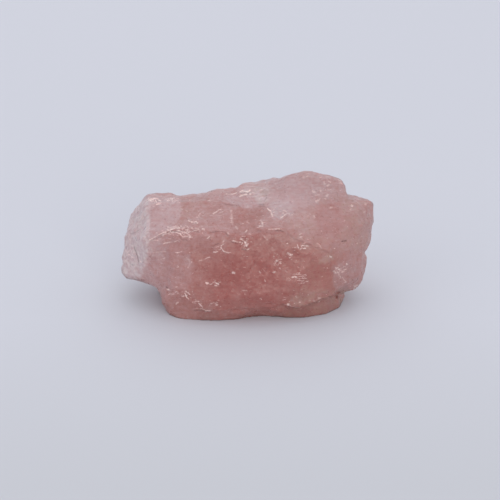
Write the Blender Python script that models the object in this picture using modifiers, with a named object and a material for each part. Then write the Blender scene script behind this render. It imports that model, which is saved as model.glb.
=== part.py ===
"""Rose quartz chunk: one rough, broken lump of massive rose quartz lying on its flattest fracture.

The lump is one natural solid. It is built the way it broke: a convex core and the blocks that stand
proud of it, each bounded by flat fractures, are joined into one body, conchoidal scars are scooped out
of it, the surface is weathered, and the underside is cut to the plane that the stone rests on.
+X runs along its length, +Z is up, and the origin is at the middle of its bounding box, on the
resting plane.
"""

import bmesh
import bpy
from mathutils import Matrix, Vector

# Driving dimensions, in metres. Block corners and scars below are millimetres on a chunk 70 mm long.
LENGTH = 0.070
UNIT = LENGTH / 70.0

WELD_VOXEL = 0.0006  # grid that melts the blocks into one skin
EDGE_WEAR_PASSES = 2  # how far handling has rounded the arrises
HACKLE_SIZE, HACKLE_DEPTH = 0.0070, 0.0010  # broad conchoidal waves
PITTING_SIZE, PITTING_DEPTH = 0.0022, 0.0004  # small chips
KEPT_FACES = 0.12  # share of the weathered skin's faces that is kept
FLOOR_CUT_DEPTH = 0.010

CHUNK_NAME = "rose_quartz_chunk"

# Corners of each block. The core and the feet of the stone reach below the resting plane (z = 0),
# where they are cut off level.
BLOCKS = {
    "core": [
        # edge of the resting face
        (-22.3, -7.7, -1), (-20.8, -12.1, -1), (-18, -14.5, -1), (-13, -15.1, -1), (-8.2, -14.7, -1),
        (-3.3, -13.8, -1), (12.6, -13.8, -1), (17.0, -13.4, -1), (21.6, -11.4, -1), (25.0, -8.6, -1),
        (28.0, -5.2, -1), (28.2, -1, -1), (25, 6, -1), (18, 12, -1), (2, 14, -1), (-10, 14, -1),
        (-20, 10, -1), (-24, 2, -1),
        # belly, fullest a third of the way up
        (-21.5, -13.5, 4), (-20, -15.4, 9), (-13, -17.6, 7), (-4, -18.6, 8), (4, -18.4, 9),
        (11, -17.2, 10), (-6, -17.2, 3), (4, -17.0, 4.2), (-20, -14.2, 17), (-24.3, -9.9, 6.6),
        (17, -14.3, 12), (22, -12.5, 11), (26.9, -6.2, 8), (28, -3, 16),
        (26.6, -8.6, 20.6), (26.2, -7.2, 23.6), (26.8, -9.2, 16.4),
        # fold between the belly and the slope above it
        (-21, -12.2, 24.6), (-12, -13.6, 24.8), (-3.3, -13.6, 25.2), (5, -12.6, 25.4), (10.5, -12.4, 25.4),
        (15, -13.4, 22.4), (20.5, -12.8, 21.4), (23.8, -11.2, 18.2),
        # top, front edge and then back edge
        (-26, -1, 28.2), (-12, -1.5, 28.6), (-4, -2, 28.4), (6, -2.5, 28.6), (20, -5, 27.6), (26, -2, 26),
        (-24, 5, 28.4), (0, 6, 28.0), (24, 6, 28.3),
        # back
        (-22, 13, 22), (-12, 16.4, 17), (4, 17.6, 15), (16, 16.6, 18), (24, 12, 20), (-4, 15, 25.5),
        (14, 15, 25.5), (-22, 13.5, 9), (2, 17, 7), (22, 12.5, 8),
    ],
    # The left end, pale and turned away, over an undercut.
    "left_end": [
        (-35.4, -1, 7.2), (-31.6, -6, 8.8), (-35.7, 3, 9.5), (-35.0, 7, 12), (-34.4, 1, 14.5),
        (-33.2, -1, 18.8), (-32.5, 3, 21.8), (-30.8, 5, 24.0), (-29.3, 5, 26.6), (-27.4, 5, 28.9),
        (-23, 5, 29.3), (-15, 5, 28.4), (-27.5, -2, 27.6), (-17, -2, 27.9), (-27, -10.6, 22.2),
        (-21.6, -12, 24.6), (-28, -10.2, 15), (-28.4, -8.8, 9.2), (-25.6, -9.6, 7.6), (-20, -13.4, 9),
        (-18, -14, 20), (-32, 11.5, 14),
        (-28.5, 12.5, 21), (-20, 13.5, 23), (-20, 13.5, 9), (-31.5, 10, 9), (-18, 0, 10),
    ],
    # The steps by which the flat top climbs towards the right.
    "low_step": [
        (-17, 0, 28.0), (-10.8, -2.2, 28.8), (-5.5, -2.4, 28.8), (-3, -2.5, 28.6), (-12, 6, 28.7),
        (-8.3, 6, 30.0), (-3.3, 7, 29.9), (-13, -10, 25), (-4, -11.5, 24.8), (0, 4, 29.3), (-12, 13, 25),
        (0, 14, 26), (0, 5, 18), (-14, 6, 20), (-12, 15.6, 20), (0, 16.4, 20),
    ],
    "middle_step": [
        (-3.6, -1.4, 28.4), (6, -2.6, 28.8), (-2.8, 7, 30.2), (-0.5, 8, 31.3), (6, 8, 31.6), (9, 8, 31.8),
        (10, -2, 29), (2, 13, 28.6), (10, 14, 29), (-3, 13, 26), (-3, 16.4, 20), (10, 17, 20), (10, 4, 20),
        (-3, 4, 20),
        (8, -8, 26.4),
    ],
    # The highest mass, at the back right, with its smooth slope to the front.
    "hump": [
        (8, 2, 30), (9.4, 8, 31.8), (11.4, 8, 33.1), (15.4, 8, 34.8), (18.2, 8, 34.9), (21, 8, 34.1),
        (23.8, 7, 33.4), (26.5, 6, 32.6), (27.6, 5, 31.0), (28.4, 4, 28.6), (11, -4, 28.4), (12, -10, 25.7),
        (17.5, -9.5, 24.9), (25, -7.4, 23.7), (28, -2, 26.2), (11, 13, 30.4), (18, 14, 29.8),
        (24.5, 12, 27.4), (18, 5, 20), (28, 8, 22), (11, 16.6, 22), (18, 16.6, 21), (25, 13, 20),
    ],
    # The right end: the upper block, and the lower one that a crease divides from it.
    "shoulder": [
        (27, 5, 28.6), (29.2, 4, 28.2), (32.3, 3, 28.3), (34.7, 2, 28.1), (35.3, 2, 26.9), (35.1, 1, 22.1),
        (35.0, 0, 19.3), (34.7, -1, 17.3), (33.3, -2, 14.9), (27.5, -9, 20), (25.8, -8.2, 24.0),
        (30.6, -4.8, 24.8), (33.6, -4, 20), (34.3, 8, 22), (32, 11, 17), (33, 8, 26), (28, 12, 25),
        (24, 10, 14), (24, -6, 14), (30.6, -7, 14.6), (20, 6, 24),
    ],
    "lower_right": [
        (32.6, -3, 14.3), (33.0, -3, 12.8), (33.2, -3, 10.3), (32.6, -4, 8.1), (32.3, -4, 6.0),
        (31.0, -5, 4.8), (28.3, -6, 4.4), (26.3, -7.4, 4.6), (24, -11.6, 7), (24.3, -12.3, 13),
        (26.6, -10.2, 16.6), (30.9, -7.2, 15.8), (31.6, -7, 9.5), (31.2, 7, 7), (31.5, 8, 14.5),
        (26, 11, 6), (20, 0, 6), (22, 0, 16),
    ],
    # What joins the hump, the belly and the right end in one smooth slope.
    "right_slope": [
        (24, -2, 28.0), (27.6, 2, 28.9), (29.6, 3, 28.2), (32, 1, 27.8), (30.2, -4.0, 26.2),
        (32.2, -4.6, 23.2), (33.4, -3.8, 20.5), (25.2, -7.8, 25.0), (27.0, -9.3, 22.4), (28, -9.3, 19.4),
        (23.8, -11.7, 18.2), (21.6, -12.5, 20.6), (19.4, -11.4, 23.4), (17.5, -9.8, 24.8),
        (26.8, -9.8, 16.4), (30.8, -7.2, 15), (19, -13.9, 13.2), (24.2, -12.1, 11), (30.4, -7.6, 11),
        (24, 0, 14),
    ],
    # The lip along the lower right, that hangs over the resting face.
    "lip": [
        (8.5, -15.6, 5.6), (11.8, -16.4, 4.5), (15.8, -16.2, 4.1), (20.2, -14.4, 4.7), (24.2, -11.6, 6),
        (25.6, -10, 7.5), (9, -16.9, 8), (15, -16.2, 7), (20.5, -14.4, 7.5), (12, -16.2, 12),
        (19, -13.6, 12.5), (24.3, -11.8, 12), (6.5, -16.4, 8), (12, -6, 7), (22, -4, 7), (16, -9, 14),
    ],
}

# Shell-shaped fracture scars: a point of the surface, the way the scar faces, the radius of the shell
# and how deep it goes.
SCARS = {
    "slope hollow": ((0.6, -8.8, 27.0), (-0.1, -0.55, 0.85), 10.0, 1.3),
    "belly flat": ((-2, -17.6, 14), (0, -1, 0.2), 40.0, 0.9),
    "arch between the feet": ((4.5, -14.2, -0.6), (0.05, -1, -0.75), 14.0, 1.6),
    "top left dish": ((-22, 2, 28.8), (0, 0.1, 1), 14.0, 0.5),
    "left end": ((-34.2, 3, 15.5), (-1, -0.1, 0.05), 22.0, 0.8),
    "left undercut": ((-26.2, -2.5, 3.4), (-0.7, -0.2, -0.65), 9.0, 2.0),
    "under right end": ((30.2, 3, 3.4), (0.5, 0.1, -0.85), 9.0, 1.2),
    "right crease": ((34.0, -1.5, 14.2), (0.98, -0.15, 0.0), 2.4, 0.9),
    "back left": ((-14, 15.6, 15), (-0.2, 0.95, 0.15), 20.0, 2.2),
    "back middle": ((1, 17.2, 12), (0.1, 1, 0.05), 12.0, 1.6),
    "back right": ((15, 15.6, 21), (0.2, 0.9, 0.45), 16.0, 2.0),
    "back right foot": ((22, 11.6, 6), (0.5, 0.75, -0.4), 12.0, 2.0),
    "back left foot": ((-18, 12, 3.5), (-0.4, 0.75, -0.5), 12.0, 2.0),
    "back of the hump": ((17, 13.6, 31), (0, 0.6, 0.8), 15.0, 1.0),
}


def clear_scene():
    for obj in list(bpy.data.objects):
        bpy.data.objects.remove(obj, do_unlink=True)


def new_collection(name, hidden=False):
    collection = bpy.data.collections.new(name)
    bpy.context.scene.collection.children.link(collection)
    collection.hide_render = hidden
    return collection


def new_object(name, bm, collection):
    mesh = bpy.data.meshes.new(name)
    bmesh.ops.recalc_face_normals(bm, faces=bm.faces)
    bm.to_mesh(mesh)
    bm.free()
    obj = bpy.data.objects.new(name, mesh)
    collection.objects.link(obj)
    return obj


def fracture_block(name, corners, collection):
    """The convex block spanned by its corners."""
    bm = bmesh.new()
    for corner in corners:
        bm.verts.new(Vector(corner) * UNIT)
    hull = bmesh.ops.convex_hull(bm, input=bm.verts)
    unused = set(hull["geom_interior"]) | set(hull["geom_unused"])
    loose = [v for v in bm.verts if v in unused]
    bmesh.ops.delete(bm, geom=loose, context="VERTS")
    return new_object(name, bm, collection)


def scar_shell(name, point, facing, radius, depth, collection):
    """A ball that cuts a shell-shaped scar of the given depth at the point."""
    centre = Vector(point) + Vector(facing).normalized() * (radius - depth)
    bm = bmesh.new()
    bmesh.ops.create_icosphere(bm, subdivisions=4, radius=radius * UNIT)
    bmesh.ops.translate(bm, verts=bm.verts, vec=centre * UNIT)
    return new_object(name, bm, collection)


def combine(body, operation, tool):
    """Adds a Boolean modifier and hides the tool it uses."""
    tool.hide_render = True
    tool.display_type = "WIRE"
    modifier = body.modifiers.new(tool.name, "BOOLEAN")
    modifier.operation = operation
    modifier.object = tool


def displace(obj, name, texture_type, size, depth):
    """Pushes the skin in and out along its normals by a procedural texture."""
    texture = bpy.data.textures.new(name, texture_type)
    texture.noise_scale = size
    modifier = obj.modifiers.new(name, "DISPLACE")
    modifier.texture = texture
    modifier.texture_coords = "LOCAL"
    modifier.strength = depth
    modifier.mid_level = 0.5


def weather(chunk):
    """One skin over all the blocks, with worn arrises, conchoidal waves and small chips."""
    remesh = chunk.modifiers.new("one skin", "REMESH")
    remesh.mode = "VOXEL"
    remesh.voxel_size = WELD_VOXEL
    displace(chunk, "hackle", "VORONOI", HACKLE_SIZE, HACKLE_DEPTH)
    displace(chunk, "pitting", "CLOUDS", PITTING_SIZE, PITTING_DEPTH)
    wear = chunk.modifiers.new("edge wear", "SMOOTH")
    wear.iterations = EDGE_WEAR_PASSES
    thin_out = chunk.modifiers.new("fewer faces", "DECIMATE")
    thin_out.ratio = KEPT_FACES


def below_resting_plane(collection):
    bm = bmesh.new()
    bmesh.ops.create_cube(bm, size=1.0)
    bmesh.ops.scale(bm, verts=bm.verts, vec=(2 * LENGTH, 2 * LENGTH, FLOOR_CUT_DEPTH))
    bmesh.ops.translate(bm, verts=bm.verts, vec=(0.0, 0.0, -FLOOR_CUT_DEPTH / 2))
    return new_object("below resting plane", bm, collection)


def bake_and_centre(chunk):
    """Applies the modifiers and moves the mesh so that its box is centred over the origin."""
    bpy.context.view_layer.update()
    graph = bpy.context.evaluated_depsgraph_get()
    mesh = bpy.data.meshes.new_from_object(chunk.evaluated_get(graph))
    chunk.modifiers.clear()
    chunk.data = mesh
    low = Vector(map(min, zip(*(v.co for v in mesh.vertices))))
    high = Vector(map(max, zip(*(v.co for v in mesh.vertices))))
    middle = (low + high) / 2
    mesh.transform(Matrix.Translation((-middle.x, -middle.y, -low.z)))


def rose_quartz_material():
    material = bpy.data.materials.new("rose_quartz")
    material.use_nodes = True
    shader = material.node_tree.nodes["Principled BSDF"]
    shader.inputs["Base Color"].default_value = (0.46, 0.21, 0.20, 1.0)
    shader.inputs["Roughness"].default_value = 0.35
    shader.inputs["Metallic"].default_value = 0.0
    return material


def main():
    clear_scene()
    parts = new_collection(CHUNK_NAME)
    cutters = new_collection("cutters", hidden=True)
    chunk = fracture_block(CHUNK_NAME, BLOCKS["core"], parts)
    for name, corners in BLOCKS.items():
        if name != "core":
            combine(chunk, "UNION", fracture_block(name, corners, cutters))
    for name, scar in SCARS.items():
        combine(chunk, "DIFFERENCE", scar_shell(name, *scar, cutters))
    weather(chunk)
    combine(chunk, "DIFFERENCE", below_resting_plane(cutters))
    bake_and_centre(chunk)
    chunk.data.materials.append(rose_quartz_material())


main()
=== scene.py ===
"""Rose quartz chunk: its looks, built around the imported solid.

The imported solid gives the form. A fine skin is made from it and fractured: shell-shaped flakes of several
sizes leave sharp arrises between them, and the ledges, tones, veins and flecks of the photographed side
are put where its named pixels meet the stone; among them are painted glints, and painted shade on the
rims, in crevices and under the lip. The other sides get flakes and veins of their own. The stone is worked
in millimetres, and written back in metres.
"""

import math

import bpy
import numpy as np
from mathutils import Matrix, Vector, noise
from mathutils.bvhtree import BVHTree


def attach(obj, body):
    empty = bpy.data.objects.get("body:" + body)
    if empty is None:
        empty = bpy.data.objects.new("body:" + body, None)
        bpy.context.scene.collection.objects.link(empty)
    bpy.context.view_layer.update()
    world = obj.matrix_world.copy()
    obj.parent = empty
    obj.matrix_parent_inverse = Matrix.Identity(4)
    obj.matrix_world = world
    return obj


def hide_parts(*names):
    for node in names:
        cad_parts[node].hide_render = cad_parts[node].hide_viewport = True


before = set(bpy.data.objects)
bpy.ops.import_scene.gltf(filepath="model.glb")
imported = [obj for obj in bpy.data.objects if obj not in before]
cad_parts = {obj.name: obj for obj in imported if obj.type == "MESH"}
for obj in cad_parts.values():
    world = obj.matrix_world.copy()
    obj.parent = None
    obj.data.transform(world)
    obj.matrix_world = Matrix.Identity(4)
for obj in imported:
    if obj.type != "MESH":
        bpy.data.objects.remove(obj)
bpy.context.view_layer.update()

NODE = "rose_quartz_chunk"
MM = 0.001  # metres

# The camera, as the photograph sees the stone. Its height and lens are estimates.
PICTURE_PX = 500
VIEW_TARGET = Vector((0.8, 0.0, 14.3))  # mm
VIEW_DISTANCE = 380.0  # mm
VIEW_ELEVATION = math.radians(24.0)
SENSOR_MM = 36.0
LENS_MM = 98.5
PX_PER_MM = LENS_MM / SENSOR_MM * PICTURE_PX / VIEW_DISTANCE

TO_CAMERA = Vector((0.0, -math.cos(VIEW_ELEVATION), math.sin(VIEW_ELEVATION)))
VIEW_RIGHT = Vector((1.0, 0.0, 0.0))
VIEW_UP = TO_CAMERA.cross(VIEW_RIGHT)
EYE = VIEW_TARGET + TO_CAMERA * VIEW_DISTANCE

# The skin.
SKIN_VOXEL = 0.325  # mm; keeps the piece under 200,000 triangles
SKIN_SMOOTHING = 8  # passes
NORMAL_SMOOTHING = 12  # passes
SOFT_PASSES = 24  # more smoothing, where a tone is calm
SOFT_CALM = (0.6, 1.0)  # calm at which that begins and is full
RESTING_BAND = 0.05  # mm; what lies this low stays flat on the resting plane
CHANCE_SEED = 13  # for the flakes and the hidden veins

# How squarely a surface is seen in the photograph, as the cosine of the angle between them: none, then full.
SEEN = (0.0, 0.25)  # what the photograph places is put here
CRACKED = (-0.4, -0.1)  # open cracks may cut the outline too
SOFTENED = (0.35, 0.8)  # calm smooths the forms
RIM_SHADE_ENDS = (-0.35, -0.05)  # the painted rim shade ends behind the outline
TURNING = (0.45, 0.1)  # the painted rim shade's side towards the camera
TURNING_IN_MILK = (0.25, 0.1)  # how far milk moves that, so that pale facets keep their tone

# Flakes: spacing and radius of the shell in mm, slope, and the shares of their depth that are cut on the
# photographed side and on the others.
FLAKES = [
    (9.0, 30.0, 0.16, 0.35, 0.7),
    (4.2, 11.0, 0.19, 0.6, 1.1),
    (1.9, 4.5, 0.21, 0.65, 1.0),
    (0.95, 2.2, 0.20, 0.5, 0.6),
]
FLAKE_REACH = 3.0  # spacings
CALMED_SHARE = 0.8  # how much of the flakes calm takes away
GRAIN_SIZE, GRAIN_DEPTH = 0.9, 0.03  # mm
GRAIN_ENDS = 1.2  # calm that would leave no grain

RIM_PAINTED_SHADE = 0.45  # painted shade, darkening the arrises where the stone turns away from the camera
ARRIS_PASSES = 24
ARRIS_PROUD = (0.03, 0.22)  # mm, how far an arris stands proud of the smoothed skin
# The right foot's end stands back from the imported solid's: by this much in mm, and between which x and z.
FOOT_SET_BACK, FOOT_X, FOOT_Z = 1.4, (25.0, 28.0), (5.0, 2.8)

# Raggedness: size of the wander in mm, and how far it moves the edges of patches and the lines, in pixels.
WANDER_SIZE = 1.6
EDGE_WANDER, LINE_WANDER = 1.4, 0.35


# ---------------------------------------------------------------- tones, by pixel of the photograph
# rose runs from 0, pale mauve, to 1, deep salmon; milk is cloudy white, sand is a beige stain, smoke dulls
# it to brown-grey, partly as the stone's own dulling and partly as painted shade on the upper edges, under
# the lip and along the foot's edge, and calm smooths its forms. What a tone doesn't name is 0. Each tone has
# a pixel and a reach in millimetres.
FRONT_TONES = {
    "left end": ((136, 242), 3.4, dict(milk=0.95, sand=0.1, calm=0.6)),
    "left end, high": ((140, 214), 3.2, dict(rose=0.2, milk=0.3, calm=0.5, smoke_and_shade=0.1)),
    "beside the left end": ((154, 246), 2.6, dict(rose=0.26, milk=0.1, calm=0.4)),
    "upper left": ((165, 212), 3.6, dict(rose=0.2, milk=0.05, calm=0.6, smoke_and_shade=0.02)),
    "salmon slope": ((199, 212), 3.6, dict(rose=0.42, sand=0.2, calm=0.4)),
    "pink slope": ((220, 220), 3.5, dict(rose=0.42, calm=0.5)),
    "top left of the cloud": ((222, 195), 3.0, dict(rose=0.36, calm=0.5, smoke_and_shade=0.04)),
    "cloud": ((258, 191), 3.5, dict(rose=0.2, milk=0.25, sand=0.2, calm=0.5, smoke_and_shade=0.02)),
    "right of the hollow": ((274, 224), 3.0, dict(rose=0.36, milk=0.05, sand=0.1, calm=0.4)),
    "top right": ((290, 194), 3.6, dict(rose=0.18, calm=0.95, smoke_and_shade=0.03)),
    # painted shade: the smoke on these upper edges stands for the dark rim where the stone turns away
    "upper edge, right": ((276, 184), 2.6, dict(rose=0.26, calm=0.5, smoke_and_shade=0.18)),
    "top of the hump": ((300, 179), 3.0, dict(rose=0.26, calm=0.6, smoke_and_shade=0.19)),
    "hump": ((322, 190), 3.6, dict(rose=0.24, sand=0.1, calm=0.6, smoke_and_shade=0.11)),
    "right shoulder": ((356, 218), 3.8, dict(rose=0.38, sand=0.5, calm=0.7, smoke_and_shade=0.08)),
    "right middle": ((333, 226), 4.5, dict(rose=0.44, sand=0.2, calm=0.9)),
    "right edge": ((368, 216), 2.6, dict(rose=0.34, milk=0.05, calm=0.2, smoke_and_shade=0.1)),
    "middle right": ((303, 228), 3.5, dict(rose=0.34, milk=0.05, sand=0.3, calm=0.6)),
    "below the ridge": ((182, 246), 3.6, dict(rose=0.47, calm=0.5)),
    "under the fold": ((214, 240), 2.6, dict(rose=0.46, milk=0.05, calm=0.4)),
    "lower left": ((157, 270), 3.4, dict(rose=0.32, calm=0.5)),
    "lower left, right": ((177, 270), 2.8, dict(rose=0.52, calm=0.5)),
    "belly, left": ((193, 272), 3.4, dict(rose=0.64, calm=0.5)),
    "belly, upper": ((243, 256), 3.6, dict(rose=0.8, calm=0.4)),
    "belly, upper left": ((206, 262), 3.2, dict(rose=0.8, calm=0.5)),
    "belly, dark middle": ((247, 268), 3.0, dict(rose=1.2, calm=0.4)),
    "belly, deepest": ((234, 280), 5.0, dict(rose=1.0, calm=0.6)),
    "belly's top": ((275, 236), 2.2, dict(rose=0.72, calm=0.4, smoke_and_shade=0.05)),
    "left of the lavender facet": ((268, 212), 2.0, dict(rose=0.44, sand=0.1, calm=0.4, smoke_and_shade=0.12)),
    "belly, beside the lip": ((285, 291), 2.4, dict(rose=0.74, sand=0.1, calm=0.5)),
    "left foot, upper": ((199, 293), 2.0, dict(rose=0.74, calm=0.5)),
    "belly, middle": ((277, 270), 4.4, dict(rose=0.94, calm=0.4)),
    "belly, upper right": ((304, 254), 2.6, dict(rose=0.88, sand=0.1, calm=0.6)),
    "belly, low": ((262, 295), 4.5, dict(rose=1.0, calm=0.5)),
    "belly, right": ((318, 277), 4.0, dict(rose=0.86, sand=0.2, calm=0.95)),
    "right, lower": ((350, 274), 3.5, dict(rose=0.46, calm=0.3, smoke_and_shade=0.08)),
    "lip": ((308, 299), 2.8, dict(rose=0.68, sand=0.45, calm=0.4, smoke_and_shade=0.12)),
    "left foot": ((195, 307), 4.0, dict(rose=0.58, sand=0.1, calm=0.5)),
    "foot, middle": ((250, 308), 4.0, dict(rose=0.58, calm=0.5)),
    # painted shade: the smoke on the foot's edge and under the lip stands for shadow near the floor
    "foot's edge": ((205, 318), 1.8, dict(rose=0.66, sand=0.2, calm=0.5, smoke_and_shade=0.34)),
    "under the lip": ((298, 311), 2.2, dict(rose=0.85, sand=0.4, calm=0.9, smoke_and_shade=0.35)),
    "under the lip, right": ((328, 304), 2.2, dict(rose=0.66, sand=0.5, calm=0.9, smoke_and_shade=0.26)),
}

# The same for the sides that the photograph doesn't show, by their place in millimetres.
OTHER_TONES = {
    "back belly": ((-2, 17, 11), 6.0, dict(rose=0.85, calm=0.2)),
    "back left": ((-20, 14, 15), 6.0, dict(rose=0.45, milk=0.1, sand=0.1, calm=0.2)),
    "back right": ((18, 15, 16), 6.0, dict(rose=0.55, milk=0.05, calm=0.2)),
    "back of the top": ((-10, 12, 27), 5.0, dict(rose=0.3, milk=0.4, sand=0.1, calm=0.3)),
    "back of the hump": ((17, 13, 30), 5.0, dict(rose=0.28, milk=0.3, calm=0.3)),
    "left end, back": ((-33, 8, 16), 5.0, dict(rose=0.1, milk=0.4, calm=0.4)),
    "right end, back": ((33, 7, 18), 5.0, dict(rose=0.38, milk=0.1, sand=0.2, calm=0.3)),
    "underside": ((0, 0, 0), 9.0, dict(rose=0.75, sand=0.2, calm=0.3)),
}

TONE_WARP_SIZE, TONE_WARP = 5.0, 1.4  # mm; bends the borders between tones

# Facets whose tone changes sharply at their edges: outline in pixels, softness of the edge in mm, and tone.
# What a facet's tone doesn't name stays as it is.
PATCHES = {
    "left end": (
        [(112, 262), (124, 210), (140, 196), (148, 199), (150, 222), (148.5, 240), (147.5, 256), (145, 266),
         (139, 275), (128, 281), (112, 276)], 1.3, dict(rose=0.0, milk=0.85, sand=0.15)),
    "upper left facet": (
        [(150, 206), (181, 204), (181.3, 219), (177, 223.5), (172.5, 229), (160, 233), (150, 239.5)],
        0.3, dict(rose=0.22, milk=0.08, sand=0.0)),
    "salmon edge": (
        [(181, 196), (210, 195), (207, 204), (196, 205), (188, 212), (184, 222), (180, 226), (181.3, 219)],
        0.5, dict(rose=0.44, milk=0.0, sand=0.25)),
    "mauve step": (
        [(226, 196.5), (240, 196), (258, 197), (259, 208.8), (243, 208.8), (241, 206), (228, 203.5)],
        0.3, dict(rose=0.26, milk=0.0, sand=0.0)),
    "beige cloud": (
        [(253, 189), (262, 186), (269, 188), (268, 201), (262, 205), (256, 200)],
        0.6, dict(rose=0.12, milk=0.35, sand=0.6)),
    "lower left facet": (
        [(167, 262), (170, 252), (178, 249), (190, 252), (192.5, 262), (191, 278), (187, 290), (174, 291),
         (166, 280)], 0.7, dict(rose=0.46, milk=0.0, sand=0.0)),
    "pink spot": (
        [(184, 256), (190, 254), (191.5, 264), (188, 270), (184.5, 267)], 0.6, dict(rose=0.36, milk=0.0)),
    "purple facet": (
        [(319, 206), (340, 203), (345, 221), (335, 240), (320, 236), (315, 218)],
        0.9, dict(rose=0.5, milk=0.0, sand=0.0, smoke_and_shade=0.04)),
    "lavender facet": (
        [(268, 200), (289, 200), (295, 212), (284, 219), (274, 220.5), (271, 210)],
        0.8, dict(rose=0.16, milk=0.28, sand=0.0, smoke_and_shade=0.08)),
    "hollow": (
        [(230.8, 209), (241, 207.5), (243, 209.3), (260, 209.3), (264, 216), (258, 226), (262, 232),
         (240, 233), (234, 226)], 0.7, dict(rose=0.56, milk=0.0, sand=0.1)),
    "pale stain on the belly": (
        [(314, 263), (324, 257), (333, 253.5), (334, 258), (325, 264.5), (315, 267)],
        0.9, dict(rose=0.52, milk=0.0, sand=0.6)),
    "smooth salmon": (
        [(303, 264), (318, 262), (331, 267), (332, 280), (329, 291), (309, 289)],
        1.0, dict(rose=0.86, milk=0.0, sand=0.2)),
    "lower right block": (
        [(333, 265), (339, 262), (347, 260), (368, 262), (368, 292), (339, 290), (334, 281)],
        1.0, dict(rose=0.44, milk=0.05, sand=0.0, smoke_and_shade=0.09)),
    "lip": (
        [(292, 296), (318, 291), (336, 289), (338, 296), (322, 299), (311, 305), (299, 307), (289, 304)],
        0.7, dict(rose=0.68, milk=0.0, sand=0.45, smoke_and_shade=0.14)),
    "stained corner": (
        [(338, 290), (352, 290), (352, 303), (341, 307)],
        0.6, dict(rose=0.5, milk=0.0, sand=0.9, smoke_and_shade=0.12)),
}
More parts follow.
